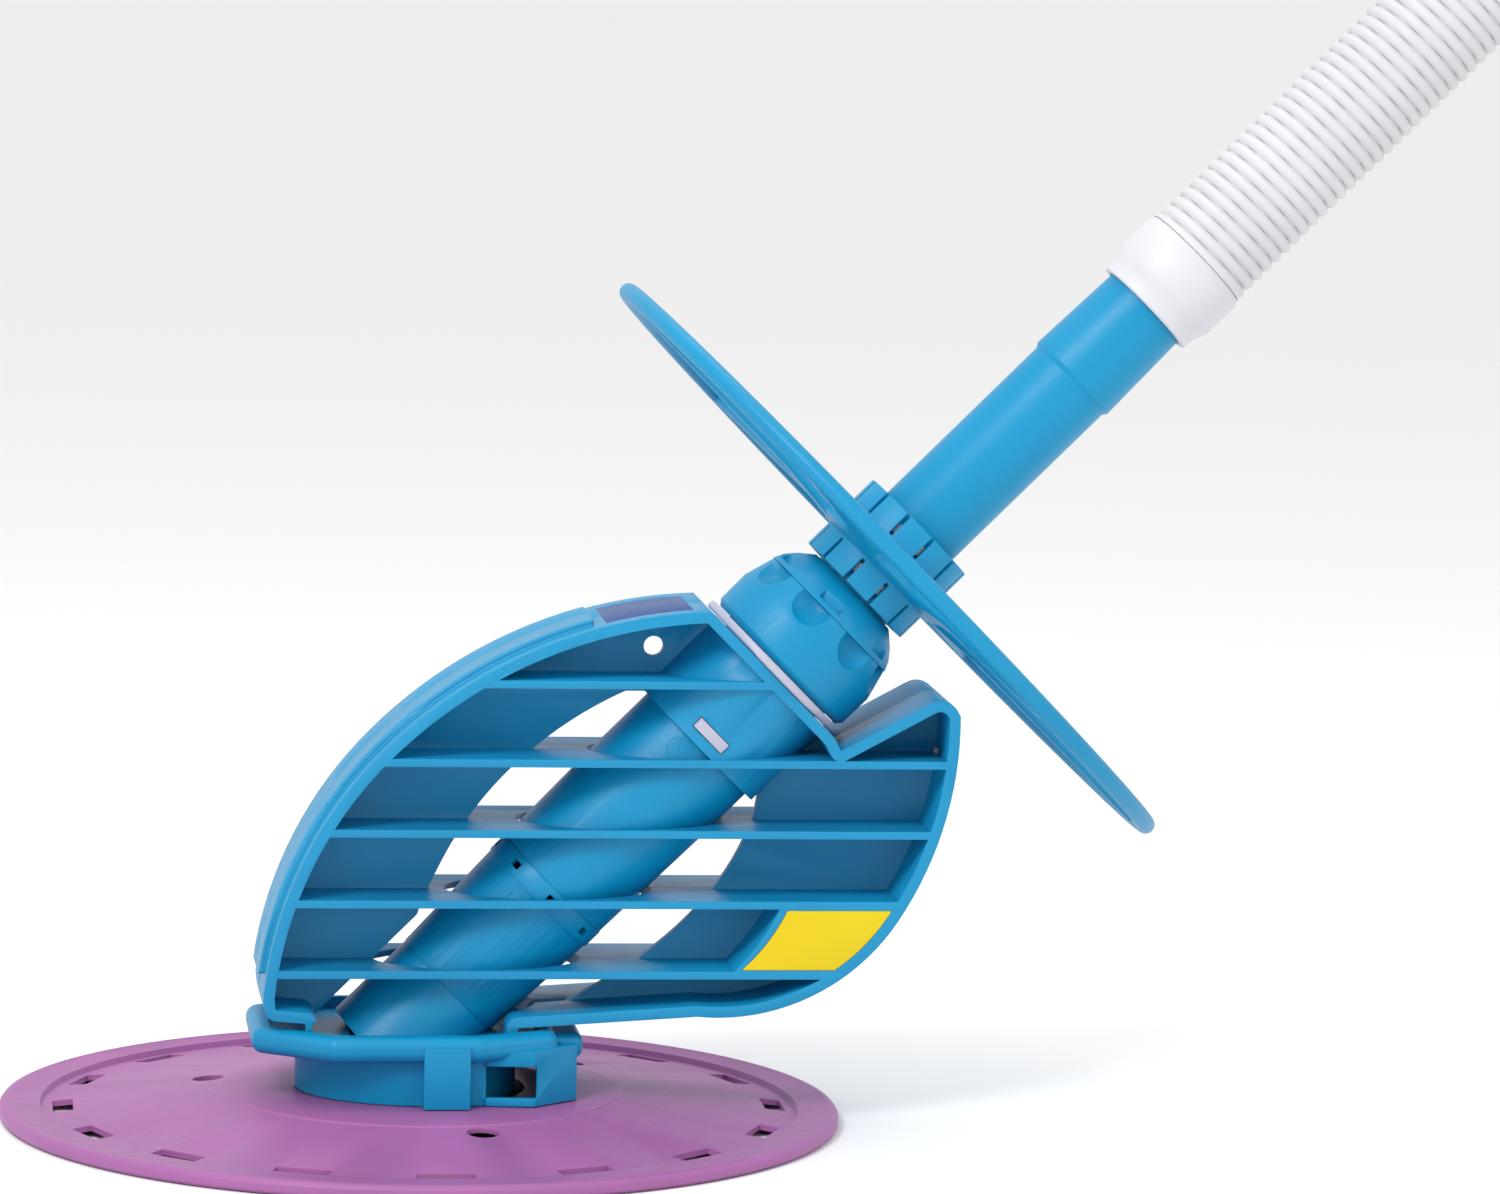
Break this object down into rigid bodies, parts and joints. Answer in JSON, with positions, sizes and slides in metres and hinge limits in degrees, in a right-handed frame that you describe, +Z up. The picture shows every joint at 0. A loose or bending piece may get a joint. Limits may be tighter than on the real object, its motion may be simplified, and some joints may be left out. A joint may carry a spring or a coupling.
{
  "type": "pool cleaner",
  "caption": "Suction pool cleaner with a flexible round disc, twin finned head shells, slanted suction tube, deflector wheel and ribbed hose section.",
  "frame": {"origin": "centre of the round suction inlet, level with the floor the disc rests on", "axes": "+X toward the hose, +Y across the cleaner's symmetry plane, +Z up"},
  "size_m": [0.8266, 0.37, 0.6887],
  "materials": {
    "disc": "satin",
    "foot": "matte",
    "blue": "satin",
    "yellow": "satin",
    "label": "satin",
    "lavender": "satin",
    "white": "satin",
    "seal": "matte"
  },
  "bodies": {
    "head": {"base_housing": "blue", "foot_pad": "foot", "throat_seal": "seal", "lower_tube": "blue", "upper_tube": "blue", "cassette_sleeve": "lavender", "diaphragm": "seal", "diaphragm_ring": "white", "right_fin_shell": "blue", "left_fin_shell": "blue", "right_accent_plate": "yellow", "left_accent_plate": "yellow", "top_label_plate": "label", "shell_pins": "lavender"},
    "disc": {"disc": "disc"},
    "nut": {"hand_nut": "blue", "pipe_gasket": "seal", "cap_ring": "blue"},
    "swivel": {"inner_pipe": "blue"},
    "pipe": {"outer_pipe": "blue", "lower_stop_ring": "white", "upper_stop_ring": "white", "hose_cuff": "white", "hose": "white", "hose_end_cuff": "white"},
    "wheel": {"wheel_hub": "blue", "deflector_wheel": "blue"}
  },
  "joints": [
    {"name": "disc_spin", "type": "hinge", "parent": "head", "child": "disc", "pos_m": [0, 0, 0.011], "axis": [0, 0, 1], "continuous": true},
    {"name": "nut_turn", "type": "hinge", "parent": "head", "child": "nut", "pos_m": [-0.047, 0, 0], "axis": [0.7071, 0, 0.7071], "range_deg": [0, 90]},
    {"name": "pipe_swivel", "type": "hinge", "parent": "head", "child": "swivel", "pos_m": [-0.047, 0, 0], "axis": [0.7071, 0, 0.7071], "continuous": true},
    {"name": "pipe_extend", "type": "slide", "parent": "swivel", "child": "pipe", "axis": [0.7071, 0, 0.7071], "range_m": [0, 0.06]},
    {"name": "wheel_spin", "type": "hinge", "parent": "pipe", "child": "wheel", "pos_m": [-0.047, 0, 0], "axis": [0.7071, 0, 0.7071], "continuous": true}
  ]
}
